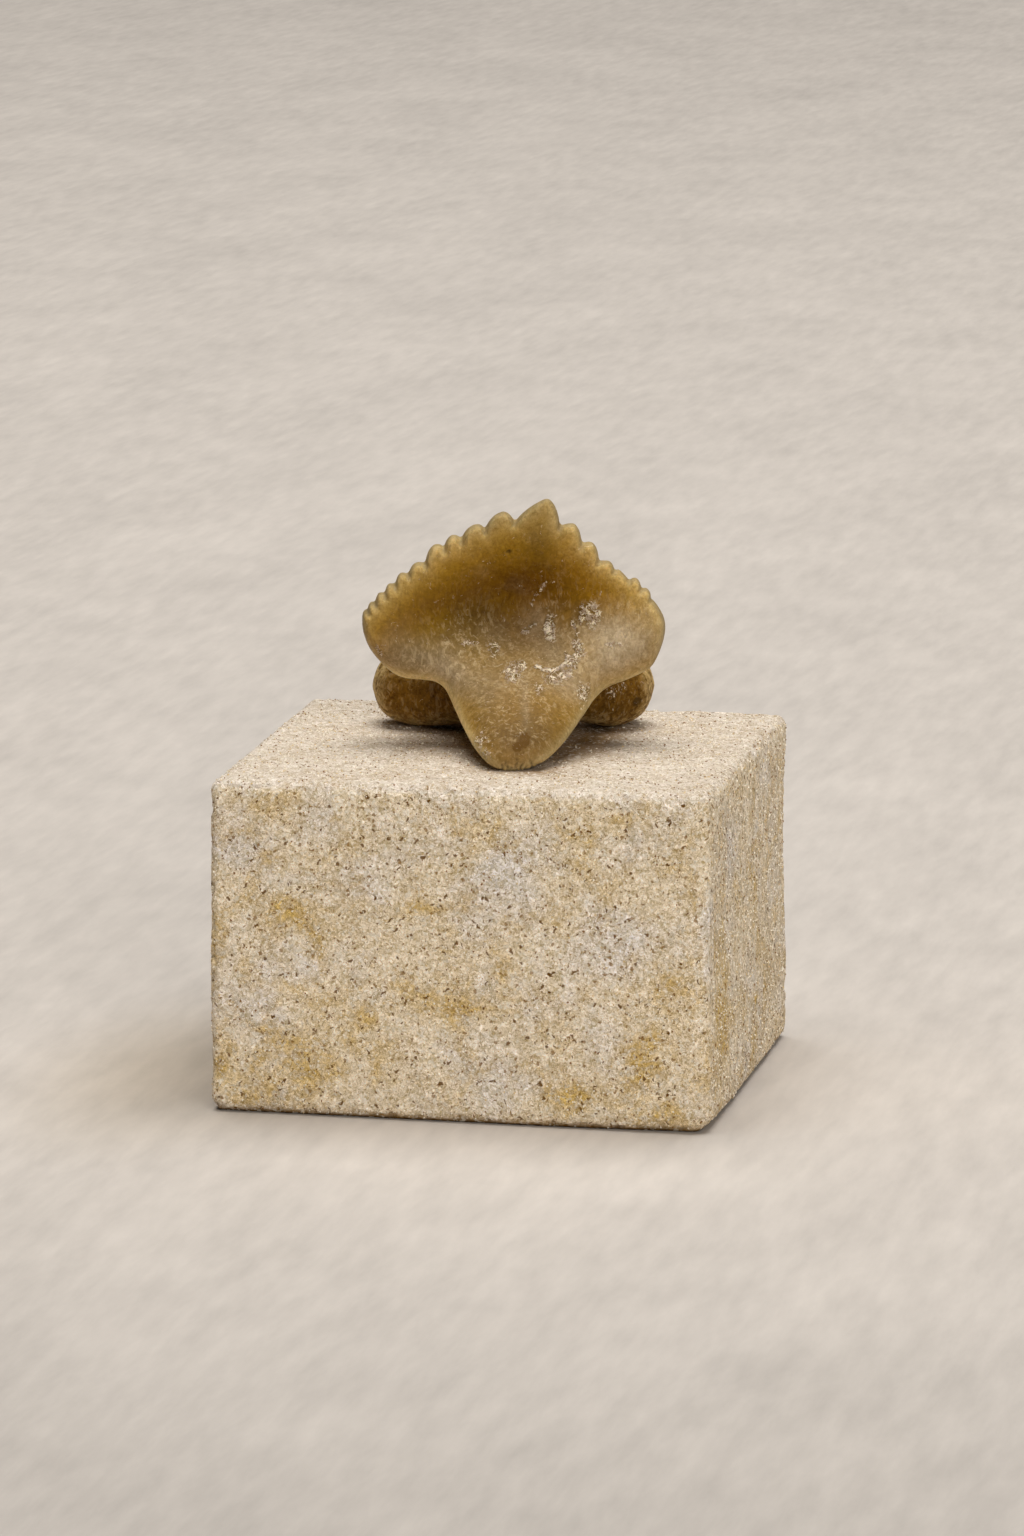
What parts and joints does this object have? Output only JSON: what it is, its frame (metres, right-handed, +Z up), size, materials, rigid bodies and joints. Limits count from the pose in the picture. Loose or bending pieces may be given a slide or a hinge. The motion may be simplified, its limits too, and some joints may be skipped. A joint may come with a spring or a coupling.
{
  "type": "fossil shark tooth",
  "caption": "Fan-shaped fossil shark tooth with a toothed rim, a long front apron and two rounded root lobes, resting on a rough-sawn sandstone display block.",
  "frame": {"origin": "centre of the block's underside, taken from its bounding box in plan", "axes": "+X to the right along the block's front face, +Y towards its back, +Z up; the tooth on top faces forward, turned 11.6 degrees to the right"},
  "size_m": [0.0407, 0.0375, 0.047],
  "materials": {
    "tooth": "waxy honey-brown mineralised enamel with pale crust patches",
    "sandstone": "matt, grainy, cream with ochre clouds and dark grains"
  },
  "bodies": {
    "root": {"tooth": "tooth", "stone_block": "sandstone"}
  },
  "joints": []
}
